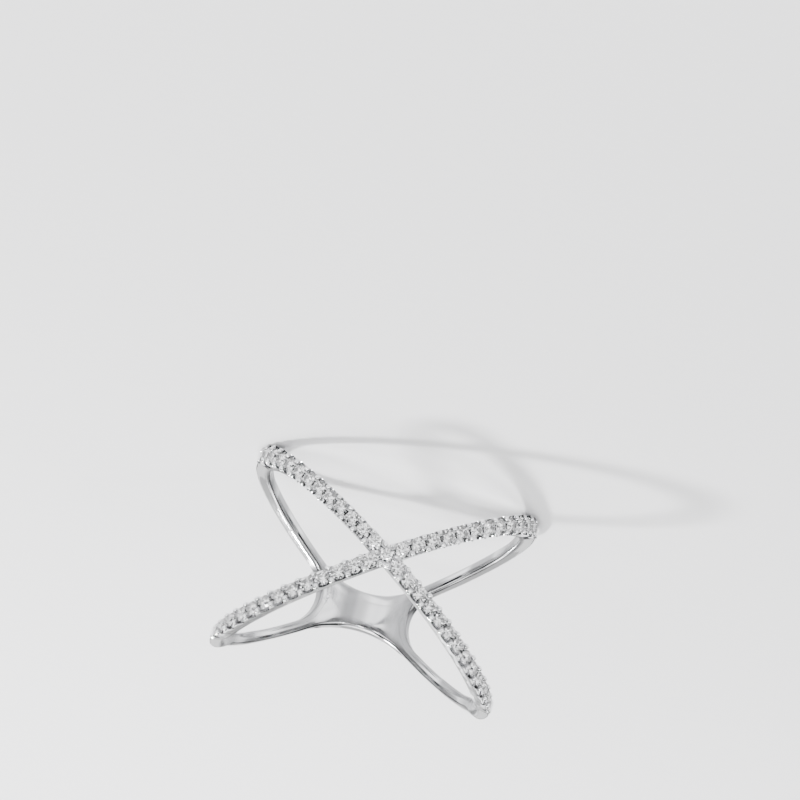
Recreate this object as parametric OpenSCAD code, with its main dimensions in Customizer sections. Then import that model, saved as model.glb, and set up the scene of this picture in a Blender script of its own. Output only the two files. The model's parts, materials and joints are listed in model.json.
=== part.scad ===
// Cross ring: two bands cross as an X of small stones at the front
// and flow together in a plain polished plate at the back.
// Millimetres. The ring lies on its side: Z is the finger axis, -Y the front, Z = 0 the table.

/* [Ring] */
// Width of the finger hole
inner_d = 17.0; // [15:0.1:21]
// Thickness of the plain metal, from the finger hole out
wall = 1.2; // [0.9:0.05:1.8]
// How much the edges of the bands spread as they go outwards (0 = straight out)
spread = 0.5; // [0:0.05:1]

/* [Front arms] */
// Height gained for each millimetre sideways
front_rise = 0.695; // [0.5:0.005:0.9]
// Width of an arm, measured along the finger
arm_w = 1.28; // [1.1:0.02:1.8]
// How far the metal under the stones lies below the plain metal
pave_drop = 0.2; // [0.1:0.02:0.35]

/* [Back bands] */
// Height gained for each millimetre sideways
back_rise = 0.73; // [0.5:0.005:0.9]
// How far the two back bands are drawn together
back_drop = 0.475; // [0:0.005:0.8]
// Width of a back band, measured along the finger
band_w = 0.88; // [0.7:0.02:1.4]
// Bevel on the outer edges of the plain bands
edge_bevel = 0.22; // [0.05:0.01:0.3]

/* [Back plate] */
// Width of the plate at its waist, side to side
plate_w = 5.92; // [4:0.02:8]
// Height of the plate at its middle, along the finger
plate_h = 2.46; // [1.6:0.02:4]

/* [Stones] */
// Diameter of a stone
stone_d = 1.0; // [0.8:0.01:1.2]
// Distance from one stone to the next along an arm
pitch = 1.13; // [1:0.01:1.4]
// Stones on each arm, without the one in the middle
per_arm = 13; // [6:1:13]
// Gap between a stone and its seat
seat_gap = 0.04; // [0.02:0.01:0.1]

/* [Beads] */
// Diameter of the little prongs between the stones
bead_d = 0.36; // [0.2:0.02:0.4]
// Distance of a bead from the middle line of its arm
bead_off = 0.45; // [0.35:0.01:0.55]

/* [Fineness] */
// Steps round the ring for the flowing edges
steps = 120; // [72:12:180]

/* [Hidden] */
r_in = inner_d / 2;
r_out = r_in + wall;
r_pave = r_out - pave_drop;
arm_rise = front_rise * r_in;
tip_start = 76;
tip_end = 104;
// height of the noses that the ring rests on, above its middle, at the finger hole
nose_z = 0.753 * r_in;
// the edges are drawn on three cylinders: inside the hole, where the bevel starts, outside the ring
station = [r_in - 0.4, r_out - 0.4, r_out + 0.4];
grow = [for (r = station) 1 + spread * (r - r_in) / r_in];
// fillets of the plate, as circles in the drawing seen from the front
slope_len = sqrt(1 + pow(back_rise, 2));
hole_low = -back_drop - band_w / 2;
hole_high = -back_drop + band_w / 2;
side_x = (hole_low + plate_w / 2 * slope_len) / (slope_len - back_rise);
side_r = side_x - plate_w / 2;
side_a = atan(back_rise);
top_r = (plate_h / 2 - hole_high) / (slope_len - 1);
top_x = top_r * sin(side_a);
stone_r = stone_d / 2;
crown = 0.155 * stone_d;
girdle = 0.03 * stone_d;
pavilion = 0.43 * stone_d;
r_girdle = r_pave - 0.01;
pave_end = stone_t(per_arm) + (stone_r + 0.14) / r_pave * 180 / PI;
// the noses end in narrow flats at this height above and below the middle
half_h = nose_z * grow[1] - 0.02;
$fn = 96;

// smooth step from 0 to 1 between a and b
function ease(t, a, b) = let (x = min(max((t - a) / (b - a), 0), 1)) x * x * (3 - 2 * x);
// the angle t runs from the front (0) to the back (180); both sides are alike
function fold(t) = abs(t > 180 ? t - 360 : t);
function side(t) = r_in * sin(fold(t));
function back_top(x) = x < top_x
  ? plate_h / 2 + top_r - sqrt(pow(top_r, 2) - x * x)
  : back_rise * x + hole_high;
// edge that faces along the finger, and edge that faces the opening at the side
function top_edge(t) = let (v = ease(fold(t), 66, 87), w = ease(fold(t), 95, 112))
  w > 0 ? (1 - w) * nose_z + w * back_top(side(t))
  : (1 - v) * (front_rise * side(t) + arm_w / 2) + v * nose_z;
function low_edge(t) = let (w = ease(fold(t), tip_start, tip_end))
  (1 - w) * (front_rise * side(t) - arm_w / 2) + w * (back_rise * side(t) + hole_low);
// bevel of the outer edges, fuller on the plain bands
function bevel(t) = 0.06 + (edge_bevel - 0.06) * ease(fold(t), tip_start, tip_end);
// unit normal of a drawn line of [angle, height] points, pointing to its left
function normal(a, b) = let (s = (b[0] - a[0]) * PI / 180 * r_in, z = b[1] - a[1], n = sqrt(s * s + z * z))
  [-z / n, s / n];
// a point moved by d along the normal n
function shift(p, n, d, g) = [p[0] + n[0] * d / r_in * 180 / PI, (p[1] * g + n[1] * d)];
function on_ring(p, r) = [r * sin(p[0]), -r * cos(p[0]), p[1]];

// outline of the ring seen from the side, once round
rim = [for (i = [0:steps - 1]) let (t = 360 * i / steps) [t, top_edge(t)]];
rim_n = [for (i = [0:steps - 1]) let (
  a = rim[(i + steps - 1) % steps], b = rim[(i + 1) % steps])
  normal([i == 0 ? a[0] - 360 : a[0], a[1]], [i == steps - 1 ? b[0] + 360 : b[0], b[1]])];
// outline of the opening on one side, from the crossing to the plate
cross_t = asin(arm_w / 2 / arm_rise);
side_t = 180 - asin((side_x - side_r * sin(side_a)) / r_in);
mid_n = round((side_t - cross_t) / 360 * steps);
gap = concat(
  [for (i = [0:mid_n]) let (t = cross_t + (side_t - cross_t) * i / mid_n) [t, max(low_edge(t), 0)]],
  [for (i = [1:6]) let (q = (90 - side_a) * (1 - i / 6))
    [180 - asin((side_x - side_r * cos(q)) / r_in), i == 6 ? 0 : side_r * sin(q)]]);
gap_n = [for (i = [0:len(gap) - 1])
  i == 0 ? [0, 1] : i == len(gap) - 1 ? [1, 0] : normal(gap[i - 1], gap[i + 1])];

// a closed body through rings of points, all with the same number of points
module loft_loop(rings) {
  n = len(rings[0]);
  m = len(rings);
  polyhedron([for (r = rings) each r],
    [for (i = [0:m - 1], j = [0:n - 1], h = [0, 1])
      let (a = i * n + j, b = i * n + (j + 1) % n, c = (i + 1) % m * n + (j + 1) % n, d = (i + 1) % m * n + j)
      h == 0 ? [c, b, a] : [d, c, a]], convexity = 6);
}

// everything between the upper and the lower edge, as a thick hoop
module hoop() {
  loft_loop([for (i = [0:steps - 1]) let (b = bevel(rim[i][0]), ins = [0, 0, -2 * b])
    concat(
      [for (k = [0:2]) on_ring(shift(rim[i], rim_n[i], ins[k], grow[k]), station[k])],
      [for (k = [2:-1:0]) let (p = shift(rim[i], rim_n[i], ins[k], grow[k]))
        on_ring([p[0], -p[1]], station[k])])]);
}

// the open space at one side, as a plug that is cut out
module side_gap() {
  last = len(gap) - 1;
  body = [for (i = [1:last - 1]) let (b = bevel(gap[i][0]), ins = [0, 0, 2 * b])
    concat(
      [for (k = [0:2]) on_ring(shift(gap[i], gap_n[i], ins[k], grow[k]), station[k])],
      [for (k = [2:-1:0]) let (p = shift(gap[i], gap_n[i], ins[k], grow[k]))
        on_ring([p[0], -p[1]], station[k])])];
  ends = [for (e = [0, last]) let (b = bevel(gap[e][0]), d = e == 0 ? 0 : 2 * b)
    [for (k = [0:2]) on_ring([gap[e][0] + (k == 2 ? d : 0) / r_in * 180 / PI, 0], station[k])]];
  m = last - 1;
  e0 = 6 * m;
  e1 = e0 + 3;
  z = 6 * (m - 1);
  faces = concat(
    [for (i = [0:m - 2], j = [0:5], h = [0, 1])
      let (a = i * 6 + j, b = i * 6 + (j + 1) % 6, c = a + 6, d = b + 6)
      h == 0 ? [d, b, a] : [c, d, a]],
    [for (k = [0:1], f = [[k + 1, e0 + k + 1, e0 + k], [k, k + 1, e0 + k],
      [5 - k, e0 + k, e0 + k + 1], [4 - k, 5 - k, e0 + k + 1]]) f],
    [[5, 0, e0], [2, 3, e0 + 2]],
    [for (k = [0:1], f = [[z + k + 1, e1 + k, e1 + k + 1], [z + k + 1, z + k, e1 + k],
      [z + 5 - k, e1 + k + 1, e1 + k], [z + 5 - k, z + 4 - k, e1 + k + 1]]) f],
    [[z, z + 5, e1], [z + 3, z + 2, e1 + 2]]);
  polyhedron(concat([for (r = body) each r], ends[0], ends[1]), faces, convexity = 6);
}

// the stones sit at even distances along the middle line of an arm
function step_t(t) = let (q = arm_rise * (1 + spread * (r_girdle - r_in) / r_in) * cos(t) / r_girdle)
  pitch / (r_girdle * sqrt(1 + q * q)) * 180 / PI;
function stone_t(i) = i <= 0 ? 0 : let (a = stone_t(i - 1), b = a + step_t(a) / 2) a + step_t(b);
function mid_z(t) = arm_rise * (1 + spread * (r_girdle - r_in) / r_in) * sin(t);
function tilt(t) = atan(arm_rise * (1 + spread * (r_girdle - r_in) / r_in) * cos(t) / r_girdle);

// places its child on an arm, looking outwards: x along the arm, y across it
module on_arm(t, up) {
  rotate([0, 0, t]) translate([0, -r_girdle, up * mid_z(t)]) rotate([90, 0, 0])
    rotate([0, 0, up * tilt(t)]) children();
}

module every_stone() {
  on_arm(0, 1) children();
  for (i = [1:per_arm], s = [1, -1], up = [1, -1]) on_arm(s * stone_t(i), s * up) children();
}

// a round brilliant: table, star, kite and girdle facets above, kites and halves below
module brilliant() {
  table_r = 0.56 * stone_r;
  star_r = 0.76 * stone_r;
  low_r = 0.25 * stone_r;
  g = girdle / 2;
  star_z = g + crown * (stone_r - star_r * cos(22.5)) / (stone_r - table_r);
  low_z = -g - pavilion * (stone_r - low_r * cos(22.5)) / stone_r;
  pts = concat(
    [for (i = [0:7]) [table_r * cos(45 * i), table_r * sin(45 * i), g + crown]],
    [for (i = [0:7]) [star_r * cos(45 * i + 22.5), star_r * sin(45 * i + 22.5), star_z]],
    [for (i = [0:15]) [stone_r * cos(22.5 * i), stone_r * sin(22.5 * i), g]],
    [for (i = [0:15]) [stone_r * cos(22.5 * i), stone_r * sin(22.5 * i), -g]],
    [for (i = [0:7]) [low_r * cos(45 * i + 22.5), low_r * sin(45 * i + 22.5), low_z]],
    [[0, 0, -g - pavilion]]);
  faces = concat(
    [[7, 6, 5, 4, 3, 2, 1, 0]],
    [for (i = [0:7]) [i, (i + 1) % 8, 8 + i]],
    [for (i = [0:7], f = [[i, 8 + i, 16 + 2 * i], [i, 16 + 2 * i, 8 + (i + 7) % 8]]) f],
    [for (i = [0:7], f = [[8 + i, 17 + 2 * i, 16 + 2 * i], [8 + i, 16 + (2 * i + 2) % 16, 17 + 2 * i]]) f],
    [for (i = [0:15]) [16 + i, 16 + (i + 1) % 16, 32 + (i + 1) % 16, 32 + i]],
    [for (i = [0:7], f = [[48 + i, 32 + 2 * i, 33 + 2 * i], [48 + i, 33 + 2 * i, 32 + (2 * i + 2) % 16]]) f],
    [for (i = [0:7], f = [[56, 32 + 2 * i, 48 + i], [56, 48 + (i + 7) % 8, 32 + 2 * i]]) f]);
  polyhedron(pts, faces, convexity = 2);
}

// seat for one stone, open at its top
module seat() {
  slope = stone_r / pavilion;
  r0 = stone_r + seat_gap * sqrt(1 + slope * slope);
  bottom = -girdle / 2 - r0 / slope + 0.01;
  translate([0, 0, bottom]) cylinder(h = 0.02 - bottom, r1 = 0.01 * slope, r2 = r0 + (0.02 + girdle / 2) * slope);
  cylinder(h = 0.5, r = r0 + (0.02 + girdle / 2) * slope);
}

// one little prong with a round head
module bead(size = 1) {
  b = bead_d / 2 * size;
  top = r_out - r_girdle - 0.1 * (1 - size);
  translate([0, 0, top - b]) sphere(r = b, $fn = 32);
  translate([0, 0, top - b - 0.3]) cylinder(h = 0.3, r1 = 0.3 * b, r2 = b, $fn = 32);
}

// a pair of beads behind each stone, smaller at the noses, where the arm ends
module beads() {
  for (i = [0:per_arm], s = [1, -1], up = [1, -1], e = [1, -1])
    if (i > 0 || e * up > 0) {
      size = i < per_arm - 1 ? 1 : i < per_arm ? 0.88 : 0.7;
      on_arm(s * (stone_t(i) + step_t(stone_t(i)) * (i < per_arm ? 0.5 : 0.53)), s * up)
        translate([0, e * bead_off * size, 0]) bead(size);
    }
  // at the crossing one smaller bead stands on each side, clear of three stones
  q = 0.94 * sqrt(pow(pitch / 2, 2) + pow(bead_off, 2)) / r_girdle * 180 / PI;
  for (s = [1, -1])
    rotate([0, 0, s * q]) translate([0, -r_girdle, 0]) rotate([90, 0, 0]) bead(0.8);
}

// the space over the stones, between the plain noses of the arms
module pave_recess() {
  intersection() {
    difference() {
      cylinder(h = 4 * r_out, r = r_out + 1, center = true, $fn = 120);
      cylinder(h = 5 * r_out, r = r_pave, center = true, $fn = 360);
    }
    linear_extrude(height = 3 * r_out, center = true)
      polygon(concat([[0, 0]], [for (t = [-1, -0.5, 0, 0.5, 1])
        3 * r_out * [sin(pave_end * t), -cos(pave_end * t)]]));
  }
}

// the metal: one casting
module band() {
  color([0.86, 0.87, 0.88]) translate([0, 0, half_h]) {
    difference() {
      intersection() {
        hoop();
        cylinder(h = 2 * half_h, r = r_out, center = true, $fn = 360);
      }
      side_gap();
      mirror([1, 0, 0]) side_gap();
      cylinder(h = 4 * r_out, r = r_in, center = true, $fn = 360);
      pave_recess();
      every_stone() seat();
    }
    beads();
  }
}

module stones() {
  color([0.93, 0.95, 0.97, 0.5]) translate([0, 0, half_h]) every_stone() brilliant();
}

band();
stones();
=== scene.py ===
# %% [markdown]
# # A cross ring set with small round stones
# This lesson dresses a finished model of a finger ring. The model arrives as a fixed frame with two
# pieces: the band, which is one casting of white metal, and the field of stones. The lesson makes a
# smooth band, cuts the seats for the stones, adds the little beads that hold them and cuts each stone
# the way a gem cutter does, facet by facet.

# %% The fixed frame
import json
import math

import bmesh
import bpy
from mathutils import Matrix, Quaternion, Vector
from mathutils.kdtree import KDTree


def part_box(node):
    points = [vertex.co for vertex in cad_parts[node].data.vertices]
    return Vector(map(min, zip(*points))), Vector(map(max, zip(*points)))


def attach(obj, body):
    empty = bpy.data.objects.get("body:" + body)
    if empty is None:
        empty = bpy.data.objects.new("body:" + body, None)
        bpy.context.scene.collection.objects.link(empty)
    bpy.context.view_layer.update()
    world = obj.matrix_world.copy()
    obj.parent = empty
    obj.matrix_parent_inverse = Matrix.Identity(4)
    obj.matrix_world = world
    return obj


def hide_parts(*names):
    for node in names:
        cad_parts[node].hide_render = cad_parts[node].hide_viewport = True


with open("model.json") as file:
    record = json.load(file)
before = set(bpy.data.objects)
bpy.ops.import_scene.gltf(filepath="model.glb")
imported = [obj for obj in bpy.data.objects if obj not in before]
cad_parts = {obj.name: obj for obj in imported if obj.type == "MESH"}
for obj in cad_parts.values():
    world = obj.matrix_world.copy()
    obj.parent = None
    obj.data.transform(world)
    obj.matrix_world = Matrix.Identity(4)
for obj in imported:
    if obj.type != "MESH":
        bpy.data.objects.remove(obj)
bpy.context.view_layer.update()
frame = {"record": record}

# %% [markdown]
# ## Sizes
# The frame tells the size of the ring and of its finger hole. Everything below is worked out from these
# in millimetres, and a single scale at the end brings each mesh to metres. Working in millimetres
# keeps the numbers easy to read for a thing as small as a ring. The metal under the stones lies a
# little lower than the plain metal of the noses.

# %% Sizes in millimetres
MM = 0.001
band_low, band_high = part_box("band")
half_h = (band_high.z - band_low.z) / 2 / MM
r_out = (band_high.x - band_low.x) / 2 / MM
r_in = frame["record"]["mounts"][0]["dims"]["r_mm"]
pave_drop = 0.2
r_pave = r_out - pave_drop
print("finger hole", 2 * r_in, "outside", 2 * r_out, "along the finger", round(2 * half_h, 2))

# %% [markdown]
# ## The camera
# The photo looks at the ring almost level with it, from a long way off, so a very long lens is used. The
# ring here lies on its side with the finger axis upright. The photo looks from the side of the rim that
# is at the bottom of its picture, and a camera can only look down on a floor, so that rim is the upper
# one here and the camera is rolled by nearly half a turn. The picture then shows the ring as the
# photo does.

# %% Direction of view
azimuth, elevation, roll = math.radians(1.8), math.radians(12.6), math.radians(-165.1)
toward = Vector((math.sin(azimuth) * math.cos(elevation), -math.cos(azimuth) * math.cos(elevation),
                 math.sin(elevation)))
unrolled = (-toward).to_track_quat("-Z", "Y")
rolled = unrolled @ Quaternion((0, 0, 1), roll)
right, up = rolled @ Vector((1, 0, 0)), rolled @ Vector((0, 1, 0))
print("the picture's upward direction:", [round(v, 2) for v in up])

# %% Camera
photo_px = 800
px_per_mm = 15.07
ring_px = (374.0, 584.2)
lens, sensor = 1000, 36
ring_centre = Vector((0, 0, half_h * MM))
mm_right = (ring_px[0] - photo_px / 2) / px_per_mm
mm_up = (photo_px / 2 - ring_px[1]) / px_per_mm
target = ring_centre - (right * mm_right + up * mm_up) * MM
distance = photo_px / px_per_mm * MM * lens / sensor
eye = ring_centre + toward * distance

away = (eye - target).normalized()
side = up.cross(away).normalized()
axes = Matrix((side, away.cross(side), away)).transposed().to_4x4()
camera_data = bpy.data.cameras.new("camera")
camera_data.lens, camera_data.sensor_width = lens, sensor
camera = bpy.data.objects.new("camera", camera_data)
camera.matrix_world = Matrix.Translation(eye) @ axes
bpy.context.scene.collection.objects.link(camera)
bpy.context.scene.camera = camera
print("camera distance in m:", round(distance, 3))

# %% [markdown]
# ## The flowing edges
# Rolled out flat, the band is a drawing: the angle round the ring goes one way and the height the other.
# Two lines bound the metal. The rim line faces along the finger, and the gap line bounds the opening at
# the side. Seen from the front, the arms and the back bands are straight, so each has a rise: so many
# millimetres up for one to the side. Two round arcs lead from the back bands into the plate, one at its
# top and one at its side.

# %% Arms, back bands and plate
front_rise, arm_w = 0.695, 1.28
back_rise, back_drop, band_w = 0.73, 0.475, 0.88
plate_w, plate_h = 5.92, 2.46
slope_len = math.sqrt(1 + back_rise ** 2)
back_low = -back_drop - band_w / 2
back_high = -back_drop + band_w / 2
side_x = (back_low + plate_w / 2 * slope_len) / (slope_len - back_rise)
side_r = side_x - plate_w / 2
side_a = math.atan(back_rise)
top_r = (plate_h / 2 - back_high) / (slope_len - 1)
top_x = top_r * math.sin(side_a)
print("arcs at the plate: radius", round(side_r, 2), "at its side,", round(top_r, 2), "at its top")

# %% [markdown]
# Both lines glide from the steep front arm over the nose into the back band with a smooth step. A
# smooth step has no kink at either end, so the polished edge shows none. Each step has the two angles
# between which it happens, in degrees round the ring from the crossing.

# %% Edge lines
nose_z = 0.753 * r_in
rim_to_nose, rim_to_back, gap_to_back = (66, 87), (95, 112), (76, 104)


def ease(t, a, b):
    """A smooth step from 0 to 1 while t goes from a to b."""
    x = min(max((t - a) / (b - a), 0), 1)
    return x * x * (3 - 2 * x)


def rim_height(t):
    """Height of the edge that faces along the finger, t degrees round from the front."""
    x = r_in * math.sin(math.radians(t))
    if x < top_x:
        back = plate_h / 2 + top_r - math.sqrt(top_r ** 2 - x * x)
    else:
        back = back_rise * x + back_high
    arm = front_rise * x + arm_w / 2
    to_nose, to_back = ease(t, *rim_to_nose), ease(t, *rim_to_back)
    if to_back > 0:
        return (1 - to_back) * nose_z + to_back * back
    return (1 - to_nose) * arm + to_nose * nose_z


def gap_height(t):
    """Height of the edge that bounds the opening at the side."""
    x = r_in * math.sin(math.radians(t))
    w = ease(t, *gap_to_back)
    return (1 - w) * (front_rise * x - arm_w / 2) + w * (back_rise * x + back_low)


cross_t = math.degrees(math.asin(arm_w / 2 / (front_rise * r_in)))
side_t = 180 - math.degrees(math.asin((side_x - side_r * math.sin(side_a)) / r_in))
plate_t = 180 - math.degrees(math.asin(plate_w / 2 / r_in))
print("opening from", round(cross_t, 1), "to", round(plate_t, 1), "degrees")

# %% [markdown]
# ## Stations along the limb
# A quarter of the ring is one limb that starts at the crossing, climbs over the nose and ends in the
# plate. It gets a cross section at each of a few hundred stations. A station knows its point on the gap
# line and on the rim line, and the direction that leads from the gap line into the metal. Near the
# crossing and in the plate there is no gap line, and the limb ends at the mirror plane instead.

# %% The gap line
steps_per_degree = 1.8
round_end_steps = 16


def gap_points():
    """Points of the gap line, from the sharp crossing to the round end at the plate."""
    n = round((side_t - cross_t) * steps_per_degree)
    line = [cross_t + (side_t - cross_t) * i / n for i in range(n + 1)]
    points = [(t, max(gap_height(t), 0)) for t in line]
    for i in range(1, round_end_steps + 1):
        q = (math.pi / 2 - side_a) * (1 - i / round_end_steps)
        x = side_x - side_r * math.cos(q)
        z = side_r * math.sin(q) if i < round_end_steps else 0
        points.append((180 - math.degrees(math.asin(x / r_in)), z))
    return points


def into_metal(a, b, flip=1):
    """Unit direction square to the line from a to b, on the unrolled drawing in millimetres."""
    s, z = math.radians(b[0] - a[0]) * r_in, b[1] - a[1]
    n = math.hypot(s, z)
    return (-z / n * flip, s / n * flip)


gap_line = gap_points()
gap_into = [into_metal(gap_line[max(i - 1, 0)], gap_line[min(i + 1, len(gap_line) - 1)])
            for i in range(len(gap_line))]
gap_into[-1] = (1, 0)
print(len(gap_line), "points on the gap line")

# %% [markdown]
# Round the plate the gap line turns back on itself while the rim line goes on, so there the stations
# stop being square to the band and fan out. The softness of a station says how rounded its edges may be:
# at the crossing the opening starts as a sharp corner, without any rounding.

# %% Stations
fan_t, rim_end_t = 140, 166
first_fanned = next(i for i, point in enumerate(gap_line) if point[0] > fan_t)
crossing_stations = max(2, round(cross_t * steps_per_degree))
plate_stations = 16
sharp_up_to = 0.5


def rim_angle(i):
    """Angle on the rim line for station i of the gap line; the stations fan out round the plate."""
    if i < first_fanned:
        return gap_line[i][0]
    share = (i - first_fanned + 1) / (len(gap_line) - first_fanned)
    return fan_t + (rim_end_t - fan_t) * share


stations = []
for i in range(crossing_stations):
    t = cross_t * i / crossing_stations
    stations.append({"kind": "crossing", "low": (t, 0), "rim": t, "soft": 0})
for i, point in enumerate(gap_line):
    soft = ease(point[1], 0, sharp_up_to) if i < len(gap_line) / 2 else 1
    stations.append({"kind": "gap", "low": point, "into": gap_into[i], "rim": rim_angle(i), "soft": soft})
for i in range(1, plate_stations + 1):
    share = i / plate_stations
    stations.append({"kind": "plate", "low": (plate_t, 0), "share": share, "soft": 1,
                     "rim": rim_end_t + (180 - rim_end_t) * share})
print(len(stations), "stations on a quarter of the ring")

# %% [markdown]
# ## Where the stones sit
# Four arms start at the crossing. The stones follow the middle line of each arm at even distances along
# the slope, and one more stone sits at the crossing itself. The walls of the band lean outwards a
# little, so heights spread as they go from the finger hole to the outside. A spread of one would
# point the walls straight at the middle of the ring.

# %% Distances along an arm
spread = 0.5
girdle_drop = 0.01
r_girdle = r_pave - girdle_drop
mid_rise = front_rise * r_in * (1 + spread * (r_girdle - r_in) / r_in)
stone_d, pitch, per_arm = 1.0, 1.13, 13
metal_past_last = 0.14


def turn_per_step(t):
    """Degrees round the ring for one pitch along the sloping arm."""
    slope = mid_rise * math.cos(math.radians(t)) / r_girdle
    return math.degrees(pitch / (r_girdle * math.hypot(1, slope)))


stone_t = [0.0]
for i in range(per_arm):
    half_way = stone_t[-1] + turn_per_step(stone_t[-1]) / 2
    stone_t.append(stone_t[-1] + turn_per_step(half_way))
pave_end = stone_t[-1] + math.degrees((stone_d / 2 + metal_past_last) / r_pave)
print("last stone at", round(stone_t[-1], 1), "degrees, plain metal from", round(pave_end, 1))

# %% [markdown]
# The place of a stone is a matrix whose z axis looks out of the ring and whose x axis runs along the
# arm. A seat, a stone or a bead is modelled once at the origin and then placed by such a matrix, which
# is how a setter works too: the same tool at each place along the arm.

# %% Stone places


def on_arm(t, sign):
    """Matrix of a place on the middle line of the arm that rises with sign, in millimetres."""
    a = math.radians(t)
    tilt = math.atan(mid_rise * math.cos(a) / r_girdle)
    return (Matrix.Translation((0, 0, half_h)) @ Matrix.Rotation(a, 4, "Z")
            @ Matrix.Translation((0, -r_girdle, sign * mid_rise * math.sin(a)))
            @ Matrix.Rotation(math.pi / 2, 4, "X") @ Matrix.Rotation(sign * tilt, 4, "Z"))


stone_places = [on_arm(0, 1) @ Matrix.Rotation(-math.atan(mid_rise / r_girdle), 4, "Z")]
for s in (1, -1):
    for sign in (1, -1):
        stone_places += [on_arm(s * t, s * sign) for t in stone_t[1:]]
print(len(stone_places), "stones")

# %% [markdown]
# ## The section
# Seen in section the band is a rectangle with soft corners. They are tight beside the stones, where the
# metal is sawn, full on the noses, where the ring is worn against other fingers, and soft on the plain
# back bands. Each soft part has the two angles between which a corner grows or shrinks again.

# %% Soft corners
shoulder_before, shoulder_after = 1.2, 1.6
tight, nose_fuller, back_slimmer, gap_fuller = 0.07, 0.68, 0.4, 0.25
inner_tight, inner_fuller, inner_nose_fuller = 0.1, 0.12, 0.2
outer_grows, outer_shrinks, gap_grows = (72, 91), (95, 122), (78, 92)
inner_grows, inner_shrinks = (72, 88), (95, 118)


def outer_radius(t):
    """The metal under the stones lies lower than the plain noses, which rise with a soft shoulder."""
    return r_pave + (r_out - r_pave) * ease(t, pave_end - shoulder_before, pave_end + shoulder_after)


def outer_edge(t, line):
    """Radius of the outer corners: tight beside the stones, full on the nose, soft on the plain bands."""
    if line == "rim":
        return tight + nose_fuller * ease(t, *outer_grows) - back_slimmer * ease(t, *outer_shrinks)
    return tight + gap_fuller * ease(t, *gap_grows)


def inner_edge(t, line):
    """Radius of the inner corners: tight on the arms, softer behind, and full at the rim of the noses."""
    plain = inner_tight + inner_fuller * ease(t, *inner_grows)
    if line == "rim":
        return plain + inner_nose_fuller * (ease(t, *inner_grows) - ease(t, *inner_shrinks))
    return plain


print("outer corner at the nose:", round(outer_edge(92, "rim"), 2), "mm, on the back band:",
      round(outer_edge(130, "rim"), 2), "mm")

# %% [markdown]
# The section is walked once round, in this order: outer corner at the gap, wall at the gap, inner
# corner, inner face, inner corner, wall at the rim, outer corner and outer face. Each step of the walk
# is a distance from one of the two lines and a place in the thickness.

# %% Section walk
corner_steps, wall_steps, face_steps = 7, 3, 8


def walk():
    """Steps round the section: kind of line, share of the corner or face, and place in thickness."""
    steps = []
    quarter = [math.pi / 2 * i / corner_steps for i in range(corner_steps + 1)]
    steps += [("low", "outer", 1 - math.sin(q), 1 - math.cos(q)) for q in quarter]
    steps += [("low", "wall", 0, (i + 1) / (wall_steps + 1)) for i in range(wall_steps)]
    steps += [("low", "inner", 1 - math.cos(q), 1 - math.sin(q)) for q in quarter]
    steps += [("mix", "inner", (i + 1) / face_steps, 0) for i in range(face_steps - 1)]
    steps += [("rim", "inner", 1 - math.sin(q), 1 - math.cos(q)) for q in quarter]
    steps += [("rim", "wall", 0, 1 - (i + 1) / (wall_steps + 1)) for i in range(wall_steps)]
    steps += [("rim", "outer", 1 - math.cos(q), 1 - math.sin(q)) for q in quarter]
    steps += [("mix", "outer", 1 - (i + 1) / face_steps, 0) for i in range(face_steps)]
    return steps


section = walk()
print(len(section), "steps round the section,", sum(step[0] == "low" for step in section), "at the gap")

# %% [markdown]
# ## From the drawing to the ring
# A point of the drawing has an angle and a height, and wrapping it round the finger gives its place on
# the ring. Near the floor and at the other end the height is rounded off, which leaves the small flats
# under the noses that the ring lies on.

# %% Wrapping
flat_softness = 0.22


def soft_limit(z):
    """Rounds the height off towards the flats under the noses instead of cutting it."""
    over = z - (half_h - flat_softness)
    if over <= 0:
        return z
    return half_h - flat_softness * math.exp(-over / flat_softness)


def moved(point, into, d):
    """A point of the drawing moved d millimetres along a direction, as angle and two height shares."""
    return point[0] + math.degrees(into[0] * d / r_in), point[1], into[1] * d


def to_ring(t, z, dz, r):
    """From the drawing to the ring: the heights spread a little as they go outwards."""
    height = z * (1 + spread * (r - r_in) / r_in) + dz
    a = math.radians(t)
    return Vector((r * math.sin(a), -r * math.cos(a), soft_limit(height)))


def rim_into(t):
    """Direction from the rim line into the metal."""
    if t < 0.01 or t > 179.99:
        return (0, -1)
    return into_metal((t - 0.5, rim_height(t - 0.5)), (t + 0.5, rim_height(t + 0.5)), -1)


print("the nose reaches", round(to_ring(90, rim_height(90), 0, r_out).z, 2), "mm above the middle")

# %% [markdown]
# The inner face is not a plain cylinder on a real ring. Hand polishing takes a little more metal away
# towards the edges, so the face is crowned like a pillow, and beside the middle of the plate the wheel
# leaves a slight hollow. Both are only hundredths of a millimetre deep, but a mirror finish shows them.

# %% Pillow and hollow
pillow_reach, pillow_drop = 0.6, 0.035
hollow_turn, hollow_width, hollow_depth = 9.5, 4.5, 0.025


def pillow(station, t, z, share):
    """How far the polished inner face falls away outwards, at a share of the way from gap to rim."""
    low, rim = station["low"], station["rim"]
    if station["kind"] == "plate":
        from_gap = math.hypot(side_x - r_in * math.sin(math.radians(t)), z) - side_r
    else:
        from_gap = share * math.hypot(math.radians(rim - low[0]) * r_in, rim_height(rim) - low[1])
    from_rim = (1 - share) * math.hypot(math.radians(rim - t) * r_in, rim_height(rim) - low[1])
    hollow = hollow_depth * math.exp(-((180 - t - hollow_turn) / hollow_width) ** 2) * z * z
    return hollow + sum(pillow_drop * max(0, 1 - d / pillow_reach) ** 2 for d in (from_gap, from_rim))


print("the inner face falls away by up to", pillow_drop, "mm at its edges")

# %% [markdown]
# ## The skin of a quarter
# A flat grid from one bmesh operator is the unrolled skin: its rows are the stations and its columns the
# steps round the section. Every grid point is then moved to its place on the ring. The faces that would
# lie inside the metal, at the mirror plane, are deleted.

# %% A grid point's place


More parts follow.
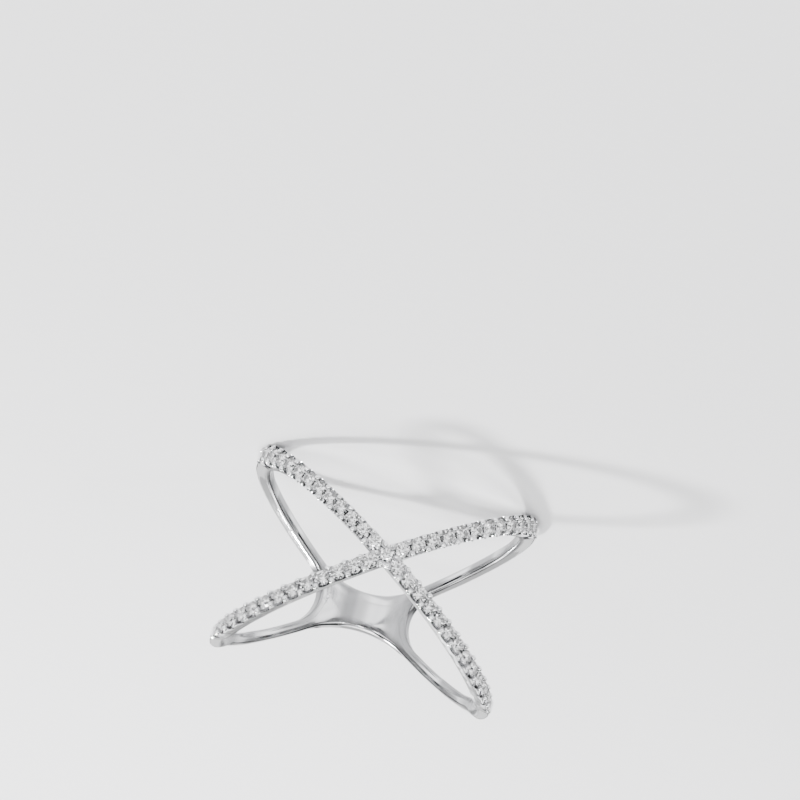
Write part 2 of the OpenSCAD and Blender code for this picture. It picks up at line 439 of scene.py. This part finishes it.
def low_point(station, d):
    """Start of a face, d millimetres from the gap line, or at the mirror plane where there is no gap."""
    if station["kind"] == "crossing":
        return station["low"][0], 0, 0
    if station["kind"] == "gap":
        return moved(station["low"], station["into"], d)
    start = plate_t + math.degrees(d / r_in)
    return start + (180 - start) * station["share"], 0, 0


def place(row, column):
    """Place of a grid point on the ring, counted from the middle of the ring."""
    station = stations[row]
    line, face, share, depth = section[column]
    t_low, t_rim = station["low"][0], station["rim"]
    soft = station["soft"]
    low_inner, low_outer = inner_edge(t_low, "low") * soft, outer_edge(t_low, "low") * soft
    rim_inner, rim_outer = inner_edge(t_rim, "rim"), outer_edge(t_rim, "rim")
    low_edge = {"outer": low_outer, "inner": low_inner, "wall": 0}[face]
    rim_edge = {"outer": rim_outer, "inner": rim_inner, "wall": 0}[face]
    if line == "low":
        t, z, dz = low_point(station, low_edge * share)
        edge, inner, outer = low_edge, low_inner, low_outer
    elif line == "rim":
        t, z, dz = moved((t_rim, rim_height(t_rim)), rim_into(t_rim), rim_edge * share)
        edge, inner, outer = rim_edge, rim_inner, rim_outer
    else:
        low_end = low_point(station, low_edge)
        rim_end = moved((t_rim, rim_height(t_rim)), rim_into(t_rim), rim_edge)
        t, z, dz = (a + (b - a) * share for a, b in zip(low_end, rim_end))
        edge, inner, outer = 0, 0, 0
    top = outer_radius(t)
    bottom = r_in + pillow(station, t, z + dz, {"low": 0, "rim": 1, "mix": share}[line]) * soft
    if face == "outer":
        r = top - edge * depth
    elif face == "inner":
        r = bottom + edge * depth
    else:
        r = top - outer + (bottom + inner - top + outer) * depth
    return to_ring(t, z, dz, r)


print("the limb ends in the plate at", [round(v, 2) for v in place(len(stations) - 1, 0)])

# %% The quarter skin
same_point, in_plane = 1e-4, 1e-5


def quarter_skin():
    """The skin of the limb from the crossing to the plate, on one side above the middle."""
    bm = bmesh.new()
    rows, columns = len(stations) - 1, len(section) - 1
    bmesh.ops.create_grid(bm, x_segments=rows, y_segments=columns, size=0.5)
    for v in bm.verts:
        row, column = round((v.co.x + 0.5) * rows), round((v.co.y + 0.5) * columns)
        v.co = place(row, column)
    bmesh.ops.remove_doubles(bm, verts=bm.verts, dist=same_point)
    inside_metal = [f for f in bm.faces if all(abs(v.co.z) < in_plane for v in f.verts)]
    bmesh.ops.delete(bm, geom=inside_metal, context="FACES")
    to_full_height = half_h / max(v.co.z for v in bm.verts)
    bmesh.ops.scale(bm, verts=bm.verts, vec=(1, 1, to_full_height))
    return bm


skin = quarter_skin()
print("quarter skin:", len(skin.verts), "points,", len(skin.faces), "faces")

# %% [markdown]
# A ring like this is the same on both sides and at both ends, so two mirrors make the whole of it. The
# seams vanish because the mirrors merge the points that fall together. A mirror turns faces inside out,
# so the directions of all faces are worked out again afterwards.

# %% Mirrors
for axis_number, axis in ((2, "Z"), (0, "X")):
    for v in skin.verts:
        if abs(v.co[axis_number]) < same_point:
            v.co[axis_number] = 0
    bmesh.ops.mirror(skin, geom=skin.verts[:] + skin.edges[:] + skin.faces[:], matrix=Matrix.Identity(4),
                     merge_dist=same_point, axis=axis)
bmesh.ops.remove_doubles(skin, verts=skin.verts, dist=same_point)
bmesh.ops.dissolve_degenerate(skin, edges=skin.edges, dist=in_plane)
bmesh.ops.recalc_face_normals(skin, faces=skin.faces)
for v in skin.verts:
    v.co.z += half_h
open_edges = sum(not e.is_manifold for e in skin.edges)
print("whole skin:", len(skin.faces), "faces,", open_edges, "open edges, volume",
      round(skin.calc_volume(), 1), "cubic mm")

# %% [markdown]
# ## Tools for meshes
# A piece that is repeated, such as a seat, a bead or a stone, is made once and stamped at each place. A
# Boolean modifier then cuts or joins whole meshes, and its result is read back, so that no modifier
# is left on the piece. Edges sharper than a given angle stay crisp under smooth shading.

# %% Objects and copies


def as_mesh(name, bm):
    """A mesh of that name with what the bmesh holds, which is freed."""
    mesh = bpy.data.meshes.new(name)
    bm.to_mesh(mesh)
    bm.free()
    return mesh


def as_object(name, bm):
    """Links a bmesh as an object of that name and frees it."""
    piece = bpy.data.objects.new(name, as_mesh(name, bm))
    bpy.context.scene.collection.objects.link(piece)
    return piece


def stamp(name, unit, places):
    """One object made of a copy of the unit mesh at each place."""
    bm = bmesh.new()
    for matrix in places:
        copy = unit.copy()
        copy.transform(matrix)
        bm.from_mesh(copy)
        bpy.data.meshes.remove(copy)
    return as_object(name, bm)


band = as_object("polished_band", skin)
print(band.name, "is linked with", len(band.data.polygons), "faces")

# %% Cutting, joining and shading


def combine(piece, other, operation):
    """Cuts the other object out of the piece, or joins it on, and removes the other object."""
    modifier = piece.modifiers.new(operation.lower(), "BOOLEAN")
    modifier.operation, modifier.solver, modifier.object = operation, "MANIFOLD", other
    graph = bpy.context.evaluated_depsgraph_get()
    result = bpy.data.meshes.new_from_object(piece.evaluated_get(graph))
    piece.modifiers.clear()
    result.materials.clear()
    piece.data = result
    bpy.data.objects.remove(other)
    print(piece.name, operation.lower(), "gives", len(result.polygons), "faces")


def shade(piece, crisp_angle):
    """Smooth shading everywhere except across edges sharper than the angle, in degrees."""
    bm = bmesh.new()
    bm.from_mesh(piece.data)
    for f in bm.faces:
        f.smooth = True
    for e in bm.edges:
        e.smooth = e.calc_face_angle(0) < math.radians(crisp_angle)
    bm.to_mesh(piece.data)
    bm.free()


# %% [markdown]
# ## Seats
# Each stone sits in a cone drilled into the arm, with a short straight wall above it that runs out
# through the metal. The cutter is one cone whose lid is extruded upwards. It is a little larger than the
# stone, so that stone and metal never share a face.

# %% Seats
round_sides = 32
pavilion, girdle = 0.43 * stone_d, 0.03 * stone_d
seat_gap, seat_tip_r, seat_below, seat_above = 0.02, 0.02, 0.02, 0.6
seat_r = stone_d / 2 + seat_gap
seat_depth = (pavilion + girdle / 2) * seat_r / (stone_d / 2) + seat_below
seat = bmesh.new()
bmesh.ops.create_cone(seat, cap_ends=True, segments=round_sides, radius1=seat_tip_r, radius2=seat_r,
                      depth=seat_depth, matrix=Matrix.Translation((0, 0, girdle / 2 - seat_depth / 2)))
lid = max(seat.faces, key=lambda f: f.calc_center_median().z)
raised = bmesh.ops.extrude_face_region(seat, geom=[lid])["geom"]
bmesh.ops.delete(seat, geom=[lid], context="FACES_ONLY")
raised_points = [v for v in raised if isinstance(v, bmesh.types.BMVert)]
bmesh.ops.translate(seat, verts=raised_points, vec=(0, 0, seat_above))
bmesh.ops.recalc_face_normals(seat, faces=seat.faces)
combine(band, stamp("seats", as_mesh("seat", seat), stone_places), "DIFFERENCE")

# %% [markdown]
# ## Scallops
# On real rings of this kind the sides of the arm are sawn out in a U beside each stone. That lets light
# in from the side and leaves a thin plain rail underneath and a small post between the stones. A round
# cutter that lies across the arm makes the U. Next to the crossing four arms share the metal, so the
# scallops there are smaller and the stone at the crossing has none.

# %% Scallops
scallop_r, scallop_rise, small_share = 0.4, 0.1, 0.7
scallop_len = arm_w * 1.2


def round_cutter(name, r, length, sides, lay):
    """A round bar of that radius and length, laid down by the matrix."""
    bm = bmesh.new()
    bmesh.ops.create_cone(bm, cap_ends=True, segments=sides, radius1=r, radius2=r, depth=length, matrix=lay)
    return as_mesh(name, bm)


across = Matrix.Translation((0, 0, scallop_rise)) @ Matrix.Rotation(math.pi / 2, 4, "X")
scallop = round_cutter("scallop", scallop_r, scallop_len, round_sides, across)
small_scallop = round_cutter("small_scallop", scallop_r * small_share, scallop_len, round_sides, across)
beyond_first = [p for i, p in enumerate(stone_places[1:]) if i % per_arm > 0]
next_to_crossing = [p for i, p in enumerate(stone_places[1:]) if i % per_arm == 0]
combine(band, stamp("scallops", scallop, beyond_first), "DIFFERENCE")
combine(band, stamp("small_scallops", small_scallop, next_to_crossing), "DIFFERENCE")

# %% [markdown]
# ## Valleys between the beads
# Between two stones the setter cuts a groove along the arm, which parts the metal into a left and a
# right post. The two beads later stand on these posts. The groove is a short round bar that lies along
# the arm at each middle between two stones.

# %% Valleys
valley_sides, valley_r, valley_len, valley_rise = 24, 0.21, 0.4, 0.04
along = Matrix.Translation((0, 0, valley_rise)) @ Matrix.Rotation(math.pi / 2, 4, "Y")
valley = round_cutter("valley", valley_r, valley_len, valley_sides, along)
gaps = [on_arm(s * (stone_t[i] + stone_t[i + 1]) / 2, s * sign)
        for i in range(per_arm) for s in (1, -1) for sign in (1, -1)]
combine(band, stamp("valleys", valley, gaps), "DIFFERENCE")

# %% [markdown]
# ## Beads
# Two little beads stand between each pair of stones, one at each side of the arm, and hold both stones.
# A setter raises them from the metal with a cup-shaped tool. Here a bead is a ball whose lower half is
# drawn down into the metal as a peg. The last beads are smaller, because the arm ends there, and at the
# crossing one bead at each side serves three stones.

# %% Bead places
bead_r, bead_off, small_sink = 0.18, 0.45, 0.1
bead_sizes = [1] * (per_arm - 1) + [0.88, 0.7]
way_to_next = [0.5] * per_arm + [0.53]
crossing_size, crossing_reach = 0.8, 0.94


def bead_place(t, sign, off, size):
    """Place of a bead: on the arm, off millimetres to the side; a small bead sits a little lower."""
    rise = (r_out - r_girdle) - bead_r * size - small_sink * (1 - size)
    return on_arm(t, sign) @ Matrix.Translation((0, off * size, rise)) @ Matrix.Scale(size, 4)


bead_places = []
for i in range(per_arm + 1):
    t = stone_t[i] + turn_per_step(stone_t[i]) * way_to_next[i]
    for s in (1, -1):
        for sign in (1, -1):
            for e in (1, -1):
                if i > 0 or e * sign > 0:
                    bead_places.append(bead_place(s * t, s * sign, e * bead_off, bead_sizes[i]))
side_turn = crossing_reach * math.hypot(pitch / 2, bead_off) / r_girdle
for s in (1, -1):
    bead_places.append(Matrix.Translation((0, 0, half_h)) @ Matrix.Rotation(s * side_turn, 4, "Z")
                       @ Matrix.Translation((0, -r_out + bead_r * crossing_size, 0))
                       @ Matrix.Rotation(math.pi / 2, 4, "X") @ Matrix.Scale(crossing_size, 4))
print(len(bead_places), "places for beads")

# %% Beads
peg_stretch = 2.4
bead = bmesh.new()
bmesh.ops.create_icosphere(bead, subdivisions=3, radius=bead_r)
for v in bead.verts:
    if v.co.z < 0:
        v.co.z *= peg_stretch
combine(band, stamp("beads", as_mesh("bead", bead), bead_places), "UNION")

# %% [markdown]
# ## A brilliant, facet by facet
# A gem cutter starts from a round blank and grinds flat facets at set angles. The same works here: each
# facet is a plane that cuts the blank, and the cut is closed with a new face. The crown has a table,
# stars, kites and upper halves, and the pavilion has mains and lower halves, which is the usual round
# brilliant.

# %% Facet planes
stone_r = stone_d / 2
crown = 0.155 * stone_d
table_r = 0.28 * stone_d
star_angle = math.radians(21)
meet_r = 0.25 * stone_r
eighth = math.pi / 4


def facet(turn, angle, r, z):
    """A facet plane: a point on it and its outward normal; it falls away outwards at the angle."""
    out = Vector((math.cos(turn), math.sin(turn), 0))
    return out * r + Vector((0, 0, z)), out * math.sin(angle) + Vector((0, 0, math.cos(angle)))


def crown_and_pavilion():
    """All facet planes of the stone, from the table to the mains."""
    top, low = girdle / 2, -girdle / 2
    kite = math.atan(crown / (stone_r - table_r))
    table_side = table_r * math.cos(eighth / 2)
    star_r = (stone_r * math.tan(kite) - crown - table_side * math.tan(star_angle)) / (
        math.cos(eighth / 2) * math.tan(kite) - math.tan(star_angle))
    star_z = (stone_r - star_r * math.cos(eighth / 2)) * math.tan(kite)
    half_r = stone_r * math.cos(eighth / 4)
    upper = math.atan(star_z / (half_r - star_r * math.cos(eighth / 4)))
    main = math.atan(pavilion / stone_r)
    meet_z = (stone_r - meet_r * math.cos(eighth / 2)) * math.tan(main)
    lower = math.atan(meet_z / (half_r - meet_r * math.cos(eighth / 4)))
    planes = []
    for i in range(8):
        turn = eighth * i
        planes.append(facet(turn, kite, stone_r, top))
        planes.append(facet(turn + eighth / 2, star_angle, table_side, top + crown))
        for half in (1, -1):
            planes.append(facet(turn + half * eighth / 4, upper, half_r, top))
            planes.append(facet(turn + half * eighth / 4, math.pi - lower, half_r, low))
        planes.append(facet(turn, math.pi - main, stone_r, low))
    planes.append((Vector((0, 0, top + crown)), Vector((0, 0, 1))))
    return planes


facet_planes = crown_and_pavilion()
print(len(facet_planes), "facet planes")

# %% Cutting the stone
facet_dist = 1e-6
blank = bmesh.new()
bmesh.ops.create_cone(blank, cap_ends=True, segments=round_sides, radius1=stone_r, radius2=stone_r,
                      depth=2 * stone_d)
for point, normal in facet_planes:
    whole = blank.verts[:] + blank.edges[:] + blank.faces[:]
    cut = bmesh.ops.bisect_plane(blank, geom=whole, dist=facet_dist, plane_co=point, plane_no=normal,
                                 clear_outer=True)
    cut_rim = [e for e in cut["geom_cut"] if isinstance(e, bmesh.types.BMEdge) and e.is_boundary]
    if len(cut_rim) > 2:
        bmesh.ops.contextual_create(blank, geom=cut_rim)
bmesh.ops.remove_doubles(blank, verts=blank.verts, dist=same_point)
bmesh.ops.dissolve_degenerate(blank, edges=blank.edges, dist=in_plane)
bmesh.ops.recalc_face_normals(blank, faces=blank.faces)
print("stone:", len(blank.faces), "facets,", sum(not e.is_manifold for e in blank.edges), "open edges")
stones = stamp("brilliants", as_mesh("brilliant", blank), stone_places)

# %% [markdown]
# ## Painted shade between the stones
# The metal under and between the stones is painted grey as shade. Each point of the band
# near an arm is looked at from its nearest stone: it counts as recess between the two side walls, above
# the inner face and no higher than the crowns of the stones. The value is kept as an attribute of the
# points, which follows the arms as no plain coordinate could, and the material reads it later.

# %% Recess attribute
recess_reach, recess_side = 0.9, arm_w / 2 - 0.05
recess_floor, recess_top = -0.8, 0.08
# The recess grey is painted shade between and under the stones.
recess_shade_grey = 0.5
nearest_stone = KDTree(len(stone_places))
for i, stone_place in enumerate(stone_places):
    nearest_stone.insert(stone_place.translation, i)
nearest_stone.balance()
to_stone = [stone_place.inverted() for stone_place in stone_places]
recess_shade_values = band.data.attributes.new("recess", "FLOAT", "POINT")
shaded_points = 0
for v, value in zip(band.data.vertices, recess_shade_values.data):
    _, i, away_mm = nearest_stone.find(v.co)
    local = to_stone[i] @ v.co
    if away_mm < recess_reach and abs(local.y) < recess_side and recess_floor < local.z < recess_top:
        value.value = recess_shade_grey
        shaded_points += 1
print(shaded_points, "of", len(band.data.vertices), "points lie in recesses")

# %% [markdown]
# ## Into metres
# The shapes are done, so the band gets its smooth shading, with crisp edges where a cutter met the
# surface. The stones keep flat facets. Then one scale brings both pieces to metres.

# %% Into metres
crisp_from = 40
shade(band, crisp_from)
for piece in (band, stones):
    piece.data.transform(Matrix.Scale(MM, 4))
    print(piece.name, sum(len(p.vertices) - 2 for p in piece.data.polygons), "triangles")

# %% [markdown]
# ## Materials
# Each material is a small tree of nodes on top of one Principled shader. The noise textures read the
# object coordinates, which are in metres, so their scales are large numbers: a scale of 1000 gives one
# patch to a millimetre. A few helpers keep the trees short: textures, ramps, sums and blends.

# %% New materials and textures


def new_material(name):
    """A material with nodes, its tree, its shader and a way to read object coordinates."""
    material = bpy.data.materials.new(name)
    material.use_nodes = True
    tree = material.node_tree
    coords = tree.nodes.new("ShaderNodeTexCoord").outputs["Object"]
    return material, tree, tree.nodes["Principled BSDF"], coords


def noise(tree, coords, scale, detail=2, stretch=(1, 1, 1)):
    """A noise texture, drawn out along an axis where stretch is under one."""
    mapping = tree.nodes.new("ShaderNodeMapping")
    mapping.inputs["Scale"].default_value = stretch
    texture = tree.nodes.new("ShaderNodeTexNoise")
    texture.inputs["Scale"].default_value = scale
    texture.inputs["Detail"].default_value = detail
    tree.links.new(coords, mapping.inputs["Vector"])
    tree.links.new(mapping.outputs["Vector"], texture.inputs["Vector"])
    return texture.outputs["Fac"]


# %% Ramps and blends


def ramp(tree, value, start, end, low, high):
    """Maps a value smoothly: low up to the start, high from the end on."""
    node = tree.nodes.new("ShaderNodeMapRange")
    node.interpolation_type = "SMOOTHSTEP"
    node.inputs["From Min"].default_value = start
    node.inputs["From Max"].default_value = end
    node.inputs["To Min"].default_value = low
    node.inputs["To Max"].default_value = high
    tree.links.new(value, node.inputs["Value"])
    return node.outputs["Result"]


def spread_value(tree, value, low, high):
    """Maps the middle of a noise to the range from low to high."""
    return ramp(tree, value, 0.3, 0.7, low, high)


def both(tree, a, b, operation):
    """Combines two values by a math operation."""
    node = tree.nodes.new("ShaderNodeMath")
    node.operation = operation
    tree.links.new(a, node.inputs[0])
    tree.links.new(b, node.inputs[1])
    return node.outputs["Value"]


def blend(tree, share, low, high):
    """Blends from the low colour to the high one by a share; low may also be a node's output."""
    node = tree.nodes.new("ShaderNodeMix")
    node.data_type = "RGBA"
    if isinstance(low, tuple):
        node.inputs["A"].default_value = (*low, 1)
    else:
        tree.links.new(low, node.inputs["A"])
    node.inputs["B"].default_value = (*high, 1)
    tree.links.new(share, node.inputs["Factor"])
    return node.outputs["Result"]


# %% [markdown]
# ## Polished metal
# The band is white metal with a mirror polish. Its inside carries painted reflections in its colour:
# soft grey streaks along the finger axis, and a darker painted grey on the narrow insides of the noses.
# The distance from the finger axis tells the shader where the inside is, and the distance forwards or
# backwards from the noses where they end.

# %% Inside of the band


def absolute(tree, value):
    """The value without its sign."""
    node = tree.nodes.new("ShaderNodeMath")
    node.operation = "ABSOLUTE"
    tree.links.new(value, node.inputs[0])
    return node.outputs["Value"]


metal, tree, shader, coords = new_material("polished_metal")
shader.inputs["Metallic"].default_value = 1
across_axis = tree.nodes.new("ShaderNodeVectorMath")
across_axis.operation = "MULTIPLY"
across_axis.inputs[1].default_value = (1, 1, 0)
tree.links.new(coords, across_axis.inputs[0])
axis_distance = tree.nodes.new("ShaderNodeVectorMath")
axis_distance.operation = "LENGTH"
tree.links.new(across_axis.outputs["Vector"], axis_distance.inputs[0])
from_axis = axis_distance.outputs["Value"]
split = tree.nodes.new("ShaderNodeSeparateXYZ")
tree.links.new(coords, split.inputs["Vector"])

inner_full, inner_end = r_in + 0.2, r_in + 0.5
nose_full, nose_end = 2.0, 5.6
streak_scale, streak_stretch, streak_grey = 330, (1, 1, 0.05), 0.7
inside = ramp(tree, from_axis, inner_full * MM, inner_end * MM, 1, 0)
# Painted dark reflection on the narrow insides of the noses.
nose_painted_reflection = ramp(tree, absolute(tree, split.outputs["Y"]), nose_full * MM, nose_end * MM, 1, 0)
streak_noise = noise(tree, coords, streak_scale, stretch=streak_stretch)
# Painted reflection streaks along the finger axis, which join the noses' painted grey on the inside.
painted_streaks = ramp(tree, streak_noise, 0.42, 0.62, 0, streak_grey)
painted_inner_reflection = both(tree, inside, both(tree, nose_painted_reflection, painted_streaks, "MAXIMUM"), "MULTIPLY")
print("inside of the band:", len(tree.nodes), "nodes")

# %% [markdown]
# Polished metal is never white all over: it shows dark contours where it turns towards the dark parts of
# a room. In a plain pale studio most of them would be lost, so the material draws the ones that matter:
# a thin grey line along the inner edges, and the sawn walls at the round ends of the side openings. They
# are found by radius, height and side, so they are the same on every limb and from every angle.

# %% Edge line and sawn ends


def between(tree, value, rise, fall, high):
    """High where a value lies between a rise and a fall, each with its start and end in millimetres."""
    up_slope = ramp(tree, value, rise[0] * MM, rise[1] * MM, 0, high)
    down_slope = ramp(tree, value, fall[0] * MM, fall[1] * MM, 1, 0)
    return both(tree, up_slope, down_slope, "MULTIPLY")


off_middle = tree.nodes.new("ShaderNodeMath")
off_middle.operation = "SUBTRACT"
off_middle.inputs[1].default_value = half_h * MM
tree.links.new(split.outputs["Z"], off_middle.inputs[0])
height = absolute(tree, off_middle.outputs["Value"])
aside = absolute(tree, split.outputs["X"])

edge_grey, end_grey = 0.6, 0.9
# A painted dark reflection line along the inner edges.
painted_edge_line = between(tree, from_axis, (r_in + 0.02, r_in + 0.06), (r_in + 0.11, r_in + 0.17), edge_grey)
in_wall = between(tree, from_axis, (r_in + 0.05, r_in + 0.15), (r_out - 0.2, r_out - 0.1), 1)
end_full, end_reach = 1.7, 2.5
near_middle = ramp(tree, height, end_full * MM, end_reach * MM, end_grey, 0)
beside_plate = ramp(tree, aside, (plate_w / 2 - 0.1) * MM, plate_w / 2 * MM, 0, 1)
behind_from, behind_full = 1.0, 3.0
behind = ramp(tree, split.outputs["Y"], behind_from * MM, behind_full * MM, 0, 1)
# Painted dark reflection on the walls at the round ends of the side openings.
painted_end_reflection = near_middle
for part in (beside_plate, in_wall, behind):
    painted_end_reflection = both(tree, painted_end_reflection, part, "MULTIPLY")
print("with edge line and sawn ends:", len(tree.nodes), "nodes")

# %% [markdown]
# The bright metal varies softly in patches, and each of the grey places, the painted reflections and the
# painted shade of the recesses, draws it towards one dark grey. Where two of them overlap, the stronger one
# counts.

# %% Colour of the metal
patch_scale = 500
dull_polish, bright_polish = (0.76, 0.765, 0.775), (0.94, 0.94, 0.945)
# The dark grey of all painted reflections and painted shade.
painted_dark_grey = (0.1, 0.102, 0.107)
# The recess attribute brings in the painted shade between the stones.
recess_shade_node = tree.nodes.new("ShaderNodeAttribute")
recess_shade_node.attribute_name = "recess"
grey = recess_shade_node.outputs["Fac"]
for part in (painted_inner_reflection, painted_edge_line, painted_end_reflection):
    grey = both(tree, grey, part, "MAXIMUM")
polish = blend(tree, noise(tree, coords, patch_scale), dull_polish, bright_polish)
tree.links.new(blend(tree, grey, polish, painted_dark_grey), shader.inputs["Base Color"])
print("with colour:", len(tree.nodes), "nodes")

# %% [markdown]
# Real polish is never quite even: the wheel leaves hair-fine lines along its path. Long low waves, which
# every hand-polished face has, bend the reflections a little. The lines and waves are far too fine to
# model, so they come from bump and roughness, and the grey places are also a little duller.

# %% Polish of the metal


def bump(tree, shader, reliefs):
    """Small reliefs on the shader's normal, one on top of the other: a height and its depth in metres."""
    normal = None
    for relief, depth in reliefs:
        node = tree.nodes.new("ShaderNodeBump")
        node.inputs["Distance"].default_value = depth
        node.inputs["Strength"].default_value = 1
        tree.links.new(relief, node.inputs["Height"])
        if normal:
            tree.links.new(normal, node.inputs["Normal"])
        normal = node.outputs["Normal"]
    tree.links.new(normal, shader.inputs["Normal"])


hairline_scale, hairline_depth = 9000, 0.0000015
wave_scale, wave_depth = 260, 0.0001
smoothest, roughest, grey_adds = 0.05, 0.1, 0.2
hairlines = noise(tree, coords, hairline_scale, detail=3, stretch=(1, 1, 0.08))
waves = noise(tree, coords, wave_scale, stretch=(1, 1, 0.06))
mirror_like = spread_value(tree, hairlines, smoothest, roughest)
satin = ramp(tree, grey, 0, 1, 0, grey_adds)
tree.links.new(both(tree, mirror_like, satin, "ADD"), shader.inputs["Roughness"])
bump(tree, shader, ((waves, wave_depth), (hairlines, hairline_depth)))
band.data.materials.append(metal)
print("polished metal:", len(tree.nodes), "nodes")

# %% [markdown]
# ## Clear stone
# The stones bend light strongly, which is what makes them sparkle: most of the light that enters through
# the table is thrown back by the facets below. The facets are left perfectly flat. A trace of unevenness
# in roughness and tint stands for the film that a finger leaves.

# %% Clear stone
stone_ior = 2.2
film_scale, film_roughness, film_tint = 1500, 0.015, (0.97, 0.975, 0.98)
clear, tree, shader, coords = new_material("clear_stone")
shader.inputs["Transmission Weight"].default_value = 1
shader.inputs["IOR"].default_value = stone_ior
film = noise(tree, coords, film_scale)
tree.links.new(spread_value(tree, film, 0, film_roughness), shader.inputs["Roughness"])
tree.links.new(blend(tree, film, film_tint, (1, 1, 1)), shader.inputs["Base Color"])
stones.data.materials.append(clear)
print("clear stone:", len(tree.nodes), "nodes")

# %% [markdown]
# ## Studio
# Polished metal shows nothing but its surroundings, so the room matters as much as the metal. The floor
# is a plain pale sheet, which fills the faces that look down. It has a very fine paper grain.

# %% Floor
half_floor_m = 2
grain_scale, paper_roughness = 900, 0.6
darker_paper, lighter_paper = (0.83, 0.83, 0.84), (0.86, 0.86, 0.87)
floor_bm = bmesh.new()
bmesh.ops.create_grid(floor_bm, x_segments=1, y_segments=1, size=half_floor_m)
floor = as_object("floor", floor_bm)
paper, tree, shader, coords = new_material("paper")
grain = noise(tree, coords, grain_scale, detail=4)
tree.links.new(blend(tree, grain, darker_paper, lighter_paper), shader.inputs["Base Color"])
shader.inputs["Roughness"].default_value = paper_roughness
floor.data.materials.append(paper)
print("floor:", [round(v, 1) for v in floor.dimensions], "m")

# %% [markdown]
# Above the floor the room is nearly dark, which leaves the edges of the ring darker than its faces.
# Softboxes make the white parts: one overhead, a small near one and two long low ones behind, two in
# front to the left and right of the camera, and one at each side. Large boxes in front would wash the
# stones out, so three tiny bright ones give the sparkle: each facet that meets one flashes. The key is
# one small strong lamp behind the ring, which shines through the stones and throws the clear shadow.

# %% Lights
room_colour, room_brightness = (0.9, 0.93, 1, 1), 0.05
world = bpy.data.worlds.new("studio")
world.use_nodes = True
room = world.node_tree.nodes["Background"]
room.inputs["Color"].default_value = room_colour
room.inputs["Strength"].default_value = room_brightness
bpy.context.scene.world = world


def softbox(name, place_m, width, height, brightness):
    """A softbox that looks at the ring; the brightness is that of its cloth, whatever its size."""
    data = bpy.data.lights.new(name, "AREA")
    data.shape, data.size, data.size_y = "RECTANGLE", width, height
    data.energy = brightness * math.pi * width * height
    light = bpy.data.objects.new(name, data)
    light.location = place_m
    light.rotation_mode = "QUATERNION"
    light.rotation_quaternion = (Vector(place_m) - ring_centre).to_track_quat("Z", "Y")
    bpy.context.scene.collection.objects.link(light)


softbox("overhead", (0.0, 0.0, 0.45), width=0.25, height=0.25, brightness=4)
softbox("behind_near", (0.0, 0.12, 0.15), width=0.1, height=0.1, brightness=9)
both_sides = (("left", -1), ("right", 1))
for name, x in both_sides:
    softbox("front_" + name, (0.3 * x, -0.28, 0.22), width=0.26, height=0.22, brightness=4.5)
for name, x in both_sides:
    softbox(name, (0.5 * x, 0.05, 0.13), width=0.5, height=0.15, brightness=1.5)
softbox("behind_low", (0.0, 0.5, 0.1), width=0.9, height=0.12, brightness=1.4)
softbox("behind_high", (0.0, 0.5, 0.23), width=0.9, height=0.13, brightness=0.7)
for i, place_m in enumerate(((0.0, -0.36, 0.3), (-0.14, -0.36, 0.2), (0.14, -0.36, 0.2))):
    softbox(f"spark_{i}", place_m, width=0.045, height=0.045, brightness=90)
softbox("key", (0.18, 0.34, 0.25), width=0.05, height=0.05, brightness=640)
print(len(bpy.data.lights), "lamps")

# %% [markdown]
# ## Ties to the frame
# The pieces are tied to the frame: both ride on its single body, and each stands in for the solid that
# it dresses, which is hidden.

# %% Ties to the frame
for piece, node_name, slot_name in ((band, "band", "metal"), (stones, "stones", "stone")):
    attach(piece, "root")
    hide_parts(node_name)
